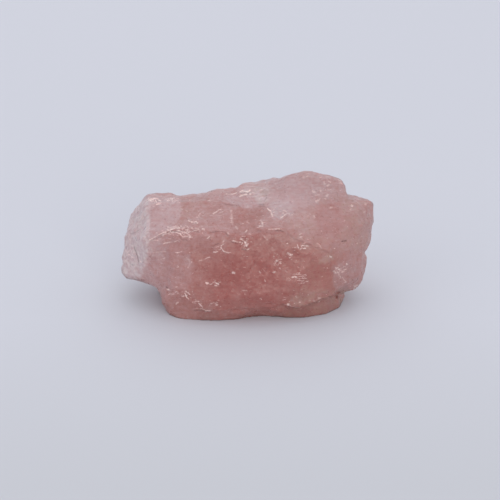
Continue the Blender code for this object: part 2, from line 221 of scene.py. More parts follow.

# ---------------------------------------------------------------- veins and cracks, by pixel
# Pale veins and painted glints (highlights): the pixels along each, its half width in mm, and its strength.
VEINS = {
    "top left rim": [
        ([(148.7, 198.6), (150.6, 200.9)], 0.26, 1),
        ([(154.5, 198.8), (158.5, 198.3)], 0.16, 0.8),
        ([(155.6, 200.2), (156.7, 202.6)], 0.2, 0.9),
        ([(156, 204.4), (159.8, 204), (161.2, 202.4)], 0.16, 0.85),
        ([(162, 198.1), (165.2, 198.6)], 0.13, 0.6),
        ([(163.8, 199.7), (167.2, 199.3)], 0.13, 0.7),
        ([(172.5, 198.9), (172.6, 201.6)], 0.18, 1),
        ([(173, 196.6), (174.8, 196.5)], 0.16, 0.6),
        ([(176, 199.8), (176.4, 201.5)], 0.13, 0.5),
        ([(189, 198.8), (190, 201.4), (191.2, 198.8)], 0.13, 0.4),
        ([(161.3, 209), (164.3, 209.9)], 0.14, 0.4),
        ([(150, 199.6), (152.6, 199)], 0.24, 1),
        ([(157.4, 199.4), (160.8, 200.6)], 0.2, 0.9),
        ([(158, 202.8), (160.6, 203.6)], 0.18, 0.9),
        ([(166.8, 200.6), (169.6, 201)], 0.16, 0.8),
        ([(170, 198.4), (171.6, 199.8)], 0.18, 0.8),
        ([(176.4, 198.4), (178.8, 198.2)], 0.14, 0.6),
    ],
    "ridge": [
        ([(149.5, 240), (154, 237.4), (158.2, 235.2)], 0.2, 0.75),
        ([(158.2, 235.2), (162, 233), (166.5, 231)], 0.14, 0.7),
        ([(164.5, 232.2), (169, 230.2), (173.2, 229.2)], 0.2, 1),
        ([(174.6, 229), (180, 228.3)], 0.2, 0.9),
        ([(182, 229.6), (184.2, 228.5)], 0.14, 0.6),
        ([(171.5, 232.6), (177, 232.3), (180.2, 233.7), (183.2, 237.2)], 0.18, 0.85),
        ([(163.2, 233.8), (162.3, 236.4)], 0.22, 0.6),
        ([(168.5, 234.6), (172.5, 233.8)], 0.14, 0.5),
        ([(185.8, 226.2), (188, 227)], 0.18, 0.7),
        ([(188.2, 229), (187, 232), (183.4, 234.2)], 0.15, 0.6),
        ([(187.6, 234.4), (191.3, 236.3), (188.8, 238.2)], 0.2, 0.65),
        ([(191.4, 228.6), (193.2, 229.2)], 0.2, 0.55),
        ([(195.2, 229), (199.6, 230.2)], 0.12, 0.5),
        ([(202.3, 230.2), (204.6, 229.9)], 0.28, 0.9),
        ([(206.8, 238.8), (209.8, 236.4)], 0.16, 0.8),
        ([(161, 234.8), (165.4, 233.8), (169, 232.2)], 0.14, 0.7),
        ([(169.4, 228.6), (173.8, 227.4), (178.6, 227.2)], 0.14, 0.7),
        ([(176.6, 230.6), (180.6, 230.8), (183.2, 232.4)], 0.16, 0.8),
        ([(180.6, 226.4), (182.6, 227.8), (185, 228.4)], 0.16, 0.7),
        ([(183.8, 232.2), (186.6, 233.2)], 0.22, 0.8),
        ([(184.6, 236.2), (187.6, 236.8)], 0.16, 0.7),
        ([(191, 231.8), (194.4, 230.4), (197.6, 230)], 0.13, 0.6),
    ],
    "below the ridge": [
        ([(152.6, 240.4), (158, 240.4)], 0.14, 0.7),
        ([(162.8, 244.2), (167.8, 242.5)], 0.19, 0.75),
        ([(167.8, 242.5), (174, 241.9), (178.8, 240.2)], 0.14, 0.6),
        ([(167.8, 239.1), (170.8, 238.7)], 0.15, 0.5),
        ([(152.2, 252.9), (158, 252.3), (166, 251.8)], 0.12, 0.4),
        ([(176.2, 253), (178.6, 252.4), (182.2, 251.4)], 0.16, 0.5),
        ([(177.2, 256.4), (178.8, 254.8)], 0.14, 0.45),
        ([(158, 259.8), (160.8, 259.4), (164.4, 258.3)], 0.16, 0.35),
        ([(186.5, 257.4), (189.2, 260), (190, 263.6), (187.6, 268)], 0.26, 0.3),
        ([(199, 260.4), (203, 259.8)], 0.14, 0.4),
        ([(204.6, 259.2), (207, 257.8), (210.4, 257.2)], 0.2, 0.6),
    ],
    "slope": [
        ([(188.3, 220.9), (192, 222.4), (197, 221.6)], 0.22, 0.9),
        ([(196.4, 223.4), (198.8, 223)], 0.22, 0.7),
        ([(198.4, 215), (200.4, 213)], 0.22, 0.8),
        ([(196.6, 216), (198.2, 217.2)], 0.16, 0.45),
        ([(198, 211.6), (199.3, 210.6)], 0.14, 0.5),
        ([(185.2, 210.1), (187.4, 210.6)], 0.15, 0.5),
        ([(180.4, 209.2), (182.8, 209.5)], 0.14, 0.5),
        ([(212.6, 212.9), (215.6, 212), (217.8, 210.9)], 0.2, 0.7),
        ([(218.8, 209.8), (221.4, 209.1)], 0.16, 0.6),
        ([(219.8, 212.2), (223.2, 212)], 0.16, 0.5),
        ([(209.6, 214.4), (217, 214.9), (224.4, 215.3)], 0.09, 0.35),
    ],
    "cloud": [
        ([(239.6, 191.9), (243, 190.8), (247.6, 191.6), (250.2, 189.8)], 0.24, 1),
        ([(239.2, 196.6), (242, 195.1), (246, 194.1), (251, 193.5)], 0.2, 0.9),
        ([(226.2, 193.9), (231, 193.8), (236.8, 193.2)], 0.17, 0.7),
        ([(252.5, 192), (256.5, 193.4)], 0.18, 0.4),
        ([(259, 190.2), (262.4, 189)], 0.22, 0.35),
        ([(258.8, 198.6), (261, 197), (263.6, 196.4)], 0.2, 0.35),
    ],
    "veins_and_glints right of the cloud": [
        ([(267.2, 208.4), (270, 210.4), (271.6, 212.8), (272.5, 216.8)], 0.26, 0.85),
        ([(280.6, 218.2), (284, 215.8), (287, 213.8), (289.6, 214.8)], 0.2, 0.95),
        ([(282.6, 210.8), (285.4, 211.4), (287.2, 213.4)], 0.16, 0.6),
        ([(274.8, 207.6), (277.2, 206.2)], 0.18, 0.4),
        ([(260.2, 220.2), (262.2, 222.4), (263, 224.6)], 0.28, 0.7),
        ([(259.4, 226.4), (263.2, 226)], 0.22, 0.75),
        ([(268, 229.8), (275, 229), (282, 229)], 0.12, 0.55),
        ([(246.6, 221.4), (248.8, 222.6)], 0.28, 0.4),
        ([(262.2, 234.8), (264.8, 236.8), (267.2, 239.8)], 0.26, 0.4),
    ],
    "pillar": [
        ([(231.4, 210.2), (231.8, 217), (232.4, 224.6)], 0.36, 0.35),
        ([(235.6, 226.4), (237.6, 229.6)], 0.3, 0.35),
    ],
    "middle": [
        ([(245.2, 232), (247.2, 230.4)], 0.28, 0.75),
        ([(248.6, 234.4), (250.9, 234.6)], 0.2, 0.85),
        ([(240.2, 238.6), (242.2, 239.4)], 0.24, 0.9),
        ([(244.6, 242.2), (246, 243.4)], 0.3, 1),
        ([(242.6, 246), (246.4, 244.8), (248.4, 243.4)], 0.16, 0.85),
        ([(246.4, 238.4), (248.4, 239.2)], 0.2, 0.7),
        ([(241.6, 236.4), (245.2, 236.9)], 0.13, 0.6),
        ([(246.8, 249.3), (249.4, 248.4)], 0.19, 0.7),
        ([(242.4, 240.6), (244, 240)], 0.16, 0.6),
        ([(227.4, 232.8), (229.8, 234.2)], 0.24, 0.55),
        ([(232.2, 240.6), (235, 241.3), (238.2, 242.2)], 0.26, 0.75),
    ],
    "left star": [
        ([(213.2, 252.4), (218.2, 251.4)], 0.22, 0.75),
        ([(215.6, 247.2), (219.2, 245.8)], 0.18, 0.65),
        ([(220.8, 246), (223.8, 243.8)], 0.2, 0.75),
        ([(221.8, 242.7), (224.8, 240.6)], 0.13, 0.6),
        ([(220.8, 247), (222.4, 249), (223.8, 251.2), (227, 252.4), (231.4, 252.6)], 0.19, 0.8),
    ],
    "right": [
        ([(299.3, 234.4), (301.8, 233.9)], 0.19, 0.6),
        ([(299.4, 237.4), (302.4, 236.9)], 0.22, 0.55),
        ([(297.6, 244.4), (298.4, 247.8)], 0.18, 0.65),
        ([(301.2, 246.2), (303.4, 245.2), (305.6, 246), (308.8, 246.4)], 0.2, 0.9),
        ([(300.2, 248.7), (303, 248.4), (305.9, 248.2)], 0.22, 0.85),
        ([(302.8, 243.6), (305.6, 242.4)], 0.14, 0.45),
        ([(287.8, 253.1), (290, 254.7), (291.8, 256.4)], 0.26, 0.65),
        ([(289.4, 257.7), (291, 257.5)], 0.22, 0.75),
        ([(292.6, 251.1), (295.2, 250.3)], 0.15, 0.6),
        ([(316.8, 243.2), (319.4, 244.6), (322, 248)], 0.2, 0.3),
    ],
    "belly, right": [
        ([(276.2, 260.5), (278.3, 260.3)], 0.22, 0.7),
        ([(279.8, 259.8), (282.2, 258.9)], 0.17, 0.45),
        ([(273.6, 263.9), (275.8, 263.2)], 0.24, 0.65),
        ([(279.2, 263), (281.4, 263.7)], 0.2, 0.65),
        ([(276.8, 265), (278.2, 265.5)], 0.16, 0.45),
        ([(272.4, 272.4), (275.8, 272.1)], 0.22, 0.5),
        ([(259.2, 271.2), (260.4, 273)], 0.26, 0.5),
        ([(262.4, 268.4), (265, 271.4)], 0.13, 0.35),
        ([(284.8, 271), (287.2, 272)], 0.26, 0.3),
        ([(264.3, 280.4), (265.7, 281.7)], 0.22, 0.5),
    ],
    "hatching": [
        ([(292.2, 277.4), (294.4, 276.4), (297.4, 277.6)], 0.28, 0.8),
        ([(296, 274.5), (305, 274.8)], 0.11, 0.45),
        ([(299, 276.5), (304.2, 276.4)], 0.13, 0.55),
        ([(297, 278.4), (306, 278.5)], 0.13, 0.7),
        ([(297.4, 280.4), (304.2, 280.6)], 0.11, 0.5),
        ([(304.8, 281.7), (308.8, 281.1)], 0.17, 0.65),
        ([(298.2, 283.2), (304.4, 282.9)], 0.15, 0.45),
        ([(289.8, 279.6), (292.8, 280.1)], 0.19, 0.5),
        ([(304.4, 274.3), (306.2, 275.5)], 0.2, 0.55),
    ],
    "lower right block": [
        ([(336.2, 268.3), (338.4, 267.9)], 0.18, 0.7),
        ([(337.6, 269.8), (340.6, 269.3)], 0.14, 0.7),
        ([(343.2, 270.2), (346.4, 269.2)], 0.17, 0.85),
        ([(334.4, 270.8), (336.2, 273.2)], 0.24, 0.55),
        ([(337.8, 271.8), (339.6, 274.8), (340.4, 277.4)], 0.22, 0.6),
        ([(341.8, 272.4), (344.2, 271.4)], 0.18, 0.5),
        ([(346.1, 263.3), (347.5, 264.8)], 0.24, 1),
        ([(342.8, 266), (345.2, 266.5)], 0.14, 0.45),
        ([(334.6, 281.8), (336.2, 282.7)], 0.22, 0.45),
        ([(342, 277), (344.2, 280), (346.4, 282.2)], 0.16, 0.4),
        ([(329.8, 256.1), (332, 257.1)], 0.24, 0.65),
    ],
    "soft spots on the hump": [
        ([(312.3, 190.9), (315, 192.5)], 0.34, 0.5),
        ([(325.6, 196.2), (328.4, 194.8)], 0.32, 0.45),
        ([(315.6, 201.5), (318, 200.7), (320.4, 198.9)], 0.34, 0.5),
        ([(302.6, 177.4), (305, 176.9)], 0.26, 0.7),
        ([(306.2, 176.3), (308.4, 175.7)], 0.17, 0.45),
        ([(319.3, 177.3), (321.8, 177.1)], 0.22, 0.6),
        ([(323.8, 181.8), (325.5, 183.7)], 0.28, 0.3),
        ([(326.8, 185.4), (329.4, 184.9)], 0.24, 0.35),
        ([(320.3, 189.8), (321.5, 191.2)], 0.22, 0.35),
        ([(339.6, 183.3), (341.9, 184.4)], 0.22, 0.55),
        ([(351.3, 205.1), (352.8, 206.6)], 0.3, 0.65),
        ([(349.8, 209.6), (351.5, 208.6)], 0.19, 0.4),
        ([(365, 202.8), (366.6, 204.2)], 0.34, 0.3),
        ([(329.8, 208.2), (332.4, 207.6)], 0.32, 0.45),
        ([(313.8, 215.8), (315.2, 217.5)], 0.24, 0.35),
        ([(306.8, 216.3), (308.7, 215.9)], 0.22, 0.3),
    ],
    "lower left": [
        ([(167.4, 288.9), (169, 289.5)], 0.24, 1),
        ([(168.6, 294.3), (173.8, 294)], 0.17, 0.65),
        ([(174.8, 292.3), (176.8, 291.3), (178.8, 292.8)], 0.18, 0.5),
        ([(185.3, 290.8), (186.8, 291.7)], 0.2, 0.75),
        ([(187.8, 292.4), (189.6, 294.2)], 0.26, 0.85),
        ([(181.8, 296.4), (184.2, 295.9)], 0.22, 0.75),
        ([(184.6, 292.8), (185.6, 295.2), (186.6, 297.4), (188.8, 299.2)], 0.19, 0.85),
        ([(175.3, 304.7), (177.8, 302.8)], 0.26, 0.6),
    ],
    "belly, left": [
        ([(205.6, 282.9), (208.5, 283.4)], 0.32, 0.85),
        ([(210.3, 284.6), (213, 283.8)], 0.15, 0.65),
        ([(212.8, 282.6), (215.8, 281.7)], 0.13, 0.5),
        ([(214.3, 285.5), (217.2, 286.1)], 0.15, 0.65),
        ([(216.3, 283.7), (218.8, 284.3)], 0.26, 0.85),
        ([(218.4, 283.2), (220.8, 281.9)], 0.13, 0.5),
        ([(231.8, 272.1), (234.8, 272.9)], 0.36, 0.65),
        ([(241.8, 290.1), (247.2, 290.7)], 0.16, 0.4),
    ],
    "left foot": [
        ([(195.3, 301.5), (199.3, 301.9)], 0.24, 0.75),
        ([(193.6, 303.1), (195.7, 303.7)], 0.18, 0.55),
        ([(198.3, 303.9), (201.7, 306), (199.3, 306.6)], 0.22, 0.85),
        ([(209.8, 303.3), (213.4, 303.1)], 0.15, 0.5),
        ([(215.8, 304.7), (218.2, 304.5)], 0.28, 0.75),
        ([(216.3, 302.4), (218, 302.5)], 0.17, 0.45),
        ([(208.3, 305.8), (211.4, 305.6)], 0.18, 0.4),
        ([(192.6, 309.4), (199, 308.6), (205, 309.6)], 0.13, 0.5),
        ([(205, 310.4), (208, 310.5), (211, 310)], 0.22, 0.7),
    ],
    "lip": [
        ([(287.3, 303.7), (289.8, 303.5)], 0.26, 0.85),
        ([(281.8, 303.7), (287.3, 304.4)], 0.13, 0.45),
        ([(318.3, 297.9), (320.7, 298.9)], 0.32, 0.45),
        ([(312.8, 299.8), (314.7, 301.2)], 0.28, 0.4),
        ([(295.6, 296.3), (297.3, 298.2)], 0.26, 0.35),
        ([(291, 305.2), (295, 306.3), (299.5, 306.6), (305, 305.4), (311, 304.6)], 0.12, 0.5),
    ],
    "left end": [
        ([(127.6, 251.6), (128.8, 252.7)], 0.2, 0.5),
        ([(128.8, 254.3), (130.8, 255.2)], 0.22, 0.6),
        ([(131.3, 256.9), (133.3, 257.6)], 0.2, 0.55),
        ([(139.3, 261.2), (141.3, 262.2)], 0.28, 0.7),
        ([(137.3, 254.8), (139.4, 255.7)], 0.2, 0.4),
        ([(131.5, 236.5), (135, 235.6)], 0.3, 0.35),
        ([(143.6, 236.6), (145.8, 237.2)], 0.22, 0.35),
    ],
}

VEIN_LAYERS = 3
VEIN_FINENESS = 0.86  # share of the half widths above that is drawn

# Dark cracks and crevices, partly real cracks and partly painted shade along crevices and edges: the pixels
# along each, its half width in mm, its strength and its depth in mm. The one of no strength is a dent in the
# outline with no dark line, and the last one at the left end is painted shade, a dark line round its edge.
CRACKS = {
    # painted shadow lines between the ridge's pale strands, over small notches
    "ridge": [
        ([(166.5, 232.9), (170, 231.2), (173.2, 230.8)], 0.13, 0.6, 0.08),
        ([(173.4, 231.1), (178, 231.2), (182.2, 231.9)], 0.12, 0.55, 0.08),
        ([(158.8, 237.1), (162.2, 236.8)], 0.11, 0.35, 0),
        ([(179.8, 236.3), (181.6, 239.2), (184.6, 240.2)], 0.14, 0.4, 0.05),
        ([(184.4, 238.6), (188, 239.8)], 0.14, 0.4, 0.05),
        ([(189.6, 231.8), (194, 231), (199.4, 232.2)], 0.2, 0.45, 0.08),
    ],
    "arch": [
        ([(208.8, 233.2), (214, 231.8), (220, 231.5), (225, 232.2), (228, 236)], 0.13, 0.4, 0.1),
        ([(213, 246.6), (216, 244), (219.2, 243.2)], 0.14, 0.45, 0.05),
        ([(230.5, 241.2), (233, 242.6), (238.4, 243.6)], 0.14, 0.4, 0.05),
    ],
    "middle": [
        ([(241, 237.8), (246, 237.7)], 0.12, 0.55, 0.05),
        ([(241.2, 241.4), (243.6, 241.3)], 0.14, 0.55, 0.05),
        ([(241.2, 249.3), (244, 249), (246.2, 249.6)], 0.16, 0.65, 0.08),
        ([(243.6, 241), (247.2, 240.2)], 0.11, 0.45, 0),
        ([(246.2, 247.4), (248.4, 246.2)], 0.12, 0.5, 0),
        ([(250.6, 236.8), (254.2, 237)], 0.14, 0.4, 0),
        ([(275, 230.6), (280.4, 230.2), (284, 231.6)], 0.17, 0.55, 0.1),
    ],
    # painted shade along the step of the top front edge, over a shallow notch
    "top front edge": [
        ([(217, 201.6), (221.5, 202.6), (226, 204.8), (232, 204.9), (238, 205.4),
          (241.4, 206.6)], 0.24, 0.22, 0.1),
    ],
    "cloud": [
        ([(240.6, 193.2), (245, 192.8), (250.2, 192.4)], 0.14, 0.5, 0.05),
        ([(259, 204.4), (264.4, 204.6)], 0.16, 0.45, 0.05),
        ([(257.6, 206.8), (265.4, 206.7)], 0.12, 0.4, 0),
        ([(266, 194), (266.8, 197.5), (264, 201.2)], 0.18, 0.3, 0),
    ],
    "right": [
        ([(341.6, 241.5), (344, 241.2), (346.8, 241.2)], 0.19, 1, 0.2),
        ([(302.6, 247.2), (304.8, 247.2)], 0.14, 0.5, 0),
        ([(276.6, 262), (278.6, 262.2)], 0.18, 0.45, 0),
        ([(292.8, 252.4), (295, 251.6)], 0.13, 0.4, 0),
        ([(351.8, 200.6), (354.2, 200.6)], 0.14, 0.5, 0.05),
        ([(361.5, 249.5), (364, 251.6), (367.5, 253.6)], 0.5, 0, 0.42),
        ([(297, 279.4), (306, 279.5)], 0.09, 0.35, 0),
    ],
    "lower left": [
        ([(166.8, 286.6), (168.3, 288)], 0.2, 0.7, 0.1),
        ([(193.8, 311.2), (201, 311.3), (208.4, 311.6)], 0.13, 0.5, 0.08),
        ([(186.8, 295.6), (187.8, 296.6)], 0.16, 0.5, 0),
    ],
    "left end": [
        ([(131, 234), (134, 232.8), (137, 231.2), (140.5, 228.5)], 0.12, 0.35, 0.05),
        ([(133.8, 247), (135, 251.5), (136.8, 256), (138, 259.2)], 0.15, 0.55, 0.08),
        ([(137.6, 260), (138.8, 262)], 0.2, 0.6, 0.08),
        ([(132.1, 263.8), (133.1, 265.7)], 0.17, 0.4, 0),
        # painted shade: the dark line round the left end's outline
        ([(148, 194.6), (142.3, 197.8), (137.2, 204.2), (131.8, 212.2), (128.4, 220), (126.8, 228),
          (125.4, 236), (124.8, 243), (123.4, 250), (122.6, 258), (122, 266), (122.8, 272), (127.2, 277.4),
          (135, 279.2), (144, 280.8)], 0.3, 0.34, 0),
    ],
}

CRACK_SIDES = 2.5  # half widths over which an open crack's sides slope down
STROKE_MARGIN = 2.0  # mm past a line's box, within which points are tried

# Ledges: pixels along each, how far the stone steps back below the line, and over what reach, in mm.
LEDGES = {
    "top front edge": ([(208, 200), (218, 203), (230, 205), (243, 207)], 0.25, 2.2),
    "fold, left": ([(150, 240), (165, 232), (190, 229), (206, 231)], 0.45, 2.6),
    "fold, middle": ([(206, 231), (222, 232), (230, 234)], 0.15, 1.6),
    "fold, right": ([(258, 231), (272, 229.5), (284, 229.5), (297, 240), (312, 245), (328, 252)], 0.4, 2.6),
    "lip": (
        [(284, 304.5), (290, 306), (298, 307.2), (312, 303.5), (323, 299), (334, 296.6), (340, 293)],
        0.9, 2.4),
    "belly's lower edge": ([(222, 310), (250, 309), (270, 307), (284, 304.5)], 0.4, 1.8),
    "right edge of the belly": ([(331, 250), (329, 262), (331, 276), (336, 288)], -0.3, 2.2),
}

LEDGE_SHARPNESS = 0.18  # mm on each side of the line
LEDGE_RAISED = 0.35  # share of the step that the stone above the line stands up

# Clusters of small white flecks, partly painted glints: pixel, spread in mm and how dense they are.
FLECKS = {
    "top left rim": [((151, 199.5), 1.4, 0.95), ((158, 200.5), 2.0, 0.95), ((172, 199.5), 2.0, 0.9)],
    "ridge": [
        ((166, 232), 2.0, 0.6), ((177, 230), 2.4, 0.75), ((187, 234), 1.8, 0.9), ((200, 230), 1.4, 0.5)],
    "slope": [((199, 216), 1.2, 0.5), ((196, 222), 1.2, 0.5), ((221, 210), 1.2, 0.4)],
    "middle": [((245, 242), 1.8, 0.9), ((221, 249), 1.6, 0.5), ((236, 243), 1.6, 0.4)],
    "veins_and_glints": [((272, 213), 1.6, 0.5), ((285, 213), 1.8, 0.5), ((262, 224), 1.3, 0.6), ((247, 192), 2.4, 0.6)],
    "right": [((304, 247), 1.4, 0.7), ((290, 255), 1.2, 0.6), ((278, 262), 1.5, 0.6), ((300, 278), 2.4, 0.5)],
    "right, lower": [((341, 271), 2.0, 0.8), ((332, 257), 1.4, 0.5), ((350, 268), 2.4, 0.35)],
    "hump": [((305, 176), 1.2, 0.5), ((341, 184), 1.0, 0.5), ((333, 187), 3.0, 0.3)],
    "belly": [((215, 284), 1.5, 0.6), ((262, 271), 2.4, 0.4)],
    "lower left": [((187, 295), 1.6, 0.8), ((173, 293.3), 2.0, 0.5)],
    "foot": [((198, 304), 1.6, 0.6), ((216, 303.5), 1.3, 0.6), ((202, 309.5), 1.6, 0.4)],
    "lip": [((311, 300), 2.4, 0.4), ((296, 294), 2.0, 0.3)],
    "left end": [((132, 256), 1.8, 0.6), ((139, 262), 1.0, 0.5)],
}
FLECK_GATHERING = 0.8  # share of the spread above that is used
STRAY_FLECKS = 0.15  # density everywhere else

# Veins on the sides that the photograph doesn't show: clusters of short strokes, placed by chance.
HIDDEN_CLUSTERS = 26
HIDDEN_HEIGHT = 1.0  # mm; none start lower than this
UNSEEN = 0.05  # share seen, below which a place is hidden
SAME_SIDE = 0.3  # cosine between normals, so that a cluster keeps to its own side
STROKES_PER_CLUSTER = (2, 8)
CLUSTER_REACH = (0.8, 4.0)  # mm
CLUSTER_LEAN, STROKE_LEAN, BEND_LEAN = 0.5, 0.5, 0.4  # radians, as standard deviations
BENDS_PER_STROKE = (1, 5)
BEND_SPACING = (0.25, 0.9)  # mm
STROKE_HALF_WIDTH = (0.07, 0.22)  # mm
STROKE_STRENGTH = (0.25, 0.85)

# Iron stains above the right foot, drawn as the veins are.
IRON_SPOTS = [([(338.9, 291.8), (339.0, 294.2)], 0.42, 1.0), ([(338.4, 296.0), (338.0, 298.8)], 0.36, 0.9)]


# ---------------------------------------------------------------- camera geometry
FOCAL_PX = LENS_MM / SENSOR_MM * PICTURE_PX


def photo_ray(pixel):
    """Direction from the eye through a pixel of the photograph."""
    u, v = pixel
    across = VIEW_RIGHT * ((u - PICTURE_PX / 2) / FOCAL_PX)
    up = VIEW_UP * ((PICTURE_PX / 2 - v) / FOCAL_PX)
    return (across + up - TO_CAMERA).normalized()


def photo_pixels(points):
    """Pixels of the photograph where the points (mm) are seen."""
    seen = points - np.array(EYE)
    depth = -seen @ np.array(TO_CAMERA)
    u = PICTURE_PX / 2 + FOCAL_PX * (seen @ np.array(VIEW_RIGHT)) / depth
    v = PICTURE_PX / 2 - FOCAL_PX * (seen @ np.array(VIEW_UP)) / depth
    return np.stack([u, v], axis=1)


def make_camera():
    """The camera at the photograph's angle, aimed at VIEW_TARGET."""
    data = bpy.data.cameras.new("camera")
    data.lens = LENS_MM
    data.sensor_width = SENSOR_MM
    data.clip_start = 0.01
    camera = bpy.data.objects.new("camera", data)
    camera.location = EYE * MM
    camera.rotation_euler = (math.pi / 2 - VIEW_ELEVATION, 0.0, 0.0)
    bpy.context.scene.collection.objects.link(camera)
    bpy.context.scene.camera = camera


# ---------------------------------------------------------------- the skin
def fine_copy(node):
    """A new object with an even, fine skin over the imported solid."""
    stone = bpy.data.objects.new("rose_quartz", node.data.copy())
    bpy.context.scene.collection.objects.link(stone)
    stone.matrix_world = node.matrix_world
    remesh = stone.modifiers.new("even skin", "REMESH")
    remesh.mode = "VOXEL"
    remesh.voxel_size = SKIN_VOXEL * MM
    bpy.context.view_layer.update()
    graph = bpy.context.evaluated_depsgraph_get()
    skin = bpy.data.meshes.new_from_object(stone.evaluated_get(graph))
    skin.transform(stone.matrix_world)
    stone.modifiers.clear()
    stone.data = skin
    stone.matrix_world.identity()
    return stone


class Skin:
    """The skin's points in millimetres, with their neighbours and normals."""

    def __init__(self, mesh):
        self.mesh = mesh
        self.count = len(mesh.vertices)
        self.points = np.empty(self.count * 3)
        mesh.vertices.foreach_get("co", self.points)
        self.points = self.points.reshape(-1, 3) / MM
        self.points[:, 2] -= self.points[:, 2].min()
        edges = np.empty(len(mesh.edges) * 2, int)
        mesh.edges.foreach_get("vertices", edges)
        self.edges = edges.reshape(-1, 2)
        self.resting = self.points[:, 2] < RESTING_BAND
        ends = np.concatenate([self.edges[:, 0], self.edges[:, 1]])
        self.valence = np.bincount(ends, minlength=self.count)[:, None]

    def neighbour_mean(self, values):
        """Mean over each point's neighbours."""
        a, b = self.edges.T
        total = np.empty_like(values)
        for column in range(values.shape[1]):
            flat = values[:, column]
            total[:, column] = np.bincount(a, flat[b], self.count) + np.bincount(b, flat[a], self.count)
        return total / self.valence

    def smooth(self, passes, share=1.0):
        """Smooths the skin, each point by its share; the resting face stays flat."""
        for _ in range(passes):
            moved = self.points + 0.5 * share * (self.neighbour_mean(self.points) - self.points)
            moved[self.resting, 2] = 0.0
            self.points = moved

    def proud(self, passes, normals):
        """How far each point stands out of a smoothed copy of the skin, in millimetres."""
        smoothed = self.points
        for _ in range(passes):
            smoothed = 0.5 * smoothed + 0.5 * self.neighbour_mean(smoothed)
        return ((self.points - smoothed) * normals).sum(axis=1)

    def write(self):
        """Puts the points back into the mesh, in metres."""
        self.mesh.vertices.foreach_set("co", (self.points * MM).ravel())
        self.mesh.update()

    def normals(self, passes):
        """Point normals, smoothed."""
        self.write()
        flat = np.empty(self.count * 3)
        self.mesh.vertex_normals.foreach_get("vector", flat)
        normals = flat.reshape(-1, 3)
        for _ in range(passes):
            normals = 0.5 * normals + 0.5 * self.neighbour_mean(normals)
            normals /= np.linalg.norm(normals, axis=1)[:, None]
        return normals

    def push_in(self, depth, normals):
        """Moves the points inwards by their depths; the resting face stays flat."""
        moved = self.points - depth[:, None] * normals
        moved[:, 2] = np.maximum(moved[:, 2], 0.0)
        moved[self.resting] = self.points[self.resting]
        self.points = moved

    def attribute(self, name, values):
        """Stores a number, or a vector of three, at each point for the material to read."""
        values = np.asarray(values, np.float32)
        if values.ndim == 1:
            self.mesh.attributes.new(name, "FLOAT", "POINT").data.foreach_set("value", values)
        else:
            self.mesh.attributes.new(name, "FLOAT_VECTOR", "POINT").data.foreach_set("vector", values.ravel())


def noise_at(points, size, seed, octaves=3):
    """Fractal noise of the given size, about -1 to 1."""
    place = Vector((17.3, -9.1, 5.7)) * seed
    return np.array([noise.fractal(Vector(p) / size + place, 1.0, 2.0, octaves) for p in points])


def smoothstep(low, high, value):
    """0 at low, 1 at high and smooth between; high may be the lesser."""
    t = np.clip((value - low) / (high - low), 0.0, 1.0)
    return t * t * (3.0 - 2.0 * t)


def flakes(points, normals, rng, spacing, shell_radius, slope):
    """Depth of shell-shaped flakes: the deepest at each point wins, which leaves sharp arrises."""
    order = np.argsort(points[:, 0])
    sorted_points = points[order]
    xs = sorted_points[:, 0]
    depth = np.full(len(points), -1e9)
    area = len(points) * SKIN_VOXEL**2
    reach = FLAKE_REACH * spacing
    for seed in rng.choice(len(points), int(area / spacing**2), replace=False):
        centre = points[seed]
        tilt = rng.normal(size=3)
        tilt -= normals[seed] * (tilt @ normals[seed])
        tilt *= slope / np.linalg.norm(tilt)
        lift = rng.uniform(-0.5, 0.5) * slope * spacing
        low, high = np.searchsorted(xs, [centre[0] - reach, centre[0] + reach])
        away = sorted_points[low:high] - centre
        value = lift + away @ tilt - (away * away).sum(axis=1) / (2 * shell_radius)
        depth[low:high] = np.maximum(depth[low:high], value)
    result = np.empty_like(depth)
    result[order] = depth - depth.mean()
    return result


# ---------------------------------------------------------------- lines and patches on the skin
def beside_line(places, line):
    """Signed distance of 2-D places to a line, positive below it, and how far past its ends they are."""
    nearest = np.full(len(places), 1e9)
    across, past = np.zeros((2, len(places)))
    last = len(line) - 2
    for index, (start, end) in enumerate(zip(line, line[1:])):
        start, end = np.array(start, float), np.array(end, float)
        run = end - start
        length = np.hypot(*run)
        share = ((places - start) @ run) / length**2
        held = np.clip(share, 0.0, 1.0)
        offset = places - (start + held[:, None] * run)
        distance = np.hypot(*offset.T)
        closer = distance < nearest
        nearest[closer] = distance[closer]
        side = np.where(run[0] * offset[:, 1] - run[1] * offset[:, 0] < 0.0, -1.0, 1.0)
        across[closer] = (side * distance)[closer]
        before = -share * length if index == 0 else np.zeros(len(places))
        after = (share - 1.0) * length if index == last else np.zeros(len(places))
        past[closer] = np.maximum(np.maximum(before, after), 0.0)[closer]
    return across, past


class Strokes:
    """Thin lines on the skin. The points beside a line keep their distance from it, so that the material
    can draw the line finer than the skin's own mesh. Lines that lie close together go into layers of
    their own, because a point holds one line in each layer."""

    BAND = 0.36  # mm past a line's edge, which takes in the points on both sides of it
    FADE_PAST_END = 0.2  # mm

    def __init__(self, count, layers=1):
        self.across = np.full((layers, count), 99.0)
        self.strength = np.zeros((layers, count))

    def draw(self, where, places, line, half_width, strength):
        """Draws a line over the points numbered where, whose 2-D places (mm) are given."""
        across, past = beside_line(places, line)
        near = np.abs(across) + past < 1.3 * half_width + self.BAND
        where, across, past = where[near], across[near] / half_width, past[near]
        layer = np.count_nonzero(self.strength[:, where], axis=1).argmin()
        nearer = np.abs(across) < np.abs(self.across[layer, where])
        chosen = where[nearer]
        self.across[layer, chosen] = across[nearer]
        ends = np.clip(1.0 - past / self.FADE_PAST_END, 0.0, 1.0)
        full = ends * (strength if np.isscalar(strength) else strength[near])
        self.strength[layer, chosen] = full[nearer]

    def store(self, skin, name):
        """Stores each layer as an attribute: distance in half widths, and strength."""
        for number, (across, strength) in enumerate(zip(self.across, self.strength)):
            vectors = np.stack([across, np.zeros(len(across)), strength], axis=1)
            skin.attribute(f"{name} {number}", vectors)


